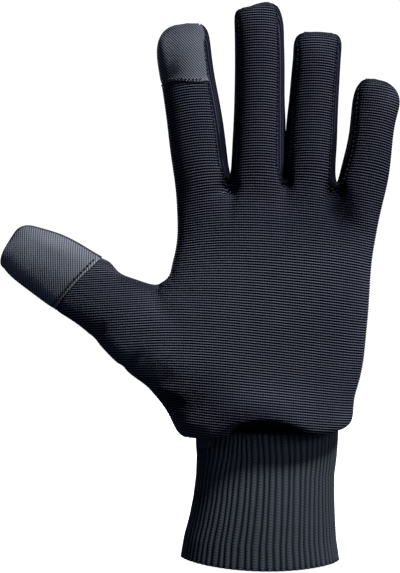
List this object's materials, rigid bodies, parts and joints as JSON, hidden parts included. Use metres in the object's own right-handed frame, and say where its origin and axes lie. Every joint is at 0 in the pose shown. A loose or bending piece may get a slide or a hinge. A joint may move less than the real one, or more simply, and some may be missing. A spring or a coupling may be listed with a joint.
{
  "type": "cut-resistant knitted skating glove",
  "caption": "Left-hand knitted glove with sewn finger side strips, touch patches on thumb and index pad, and a long ribbed cuff.",
  "frame": {"origin": "middle of the wrist opening at the cuff's hem, where the hand goes in", "axes": "+Z from the wrist to the fingertips; -Y is the way the palm faces; -X is the thumb's side"},
  "size_m": [0.1736, 0.0502, 0.2471],
  "materials": {
    "shell_knit": "fine cross-ribbed knit, navy black, matte with a slight sheen on the rib crests",
    "strip_knit": "the same knit with its ribs lengthwise, smooth, navy black",
    "touch_patch": "fine conductive twill weave, slate grey, low sheen",
    "cuff_rib": "rib-knit tube, charcoal black, matte"
  },
  "bodies": {
    "root": {"palm_panel": "shell_knit", "back_panel": "shell_knit", "fourchette_index_middle": "strip_knit", "fourchette_middle_ring": "strip_knit", "fourchette_ring_little": "strip_knit", "index_patch": "touch_patch", "thumb_patch": "touch_patch", "cuff": "cuff_rib"}
  },
  "joints": []
}
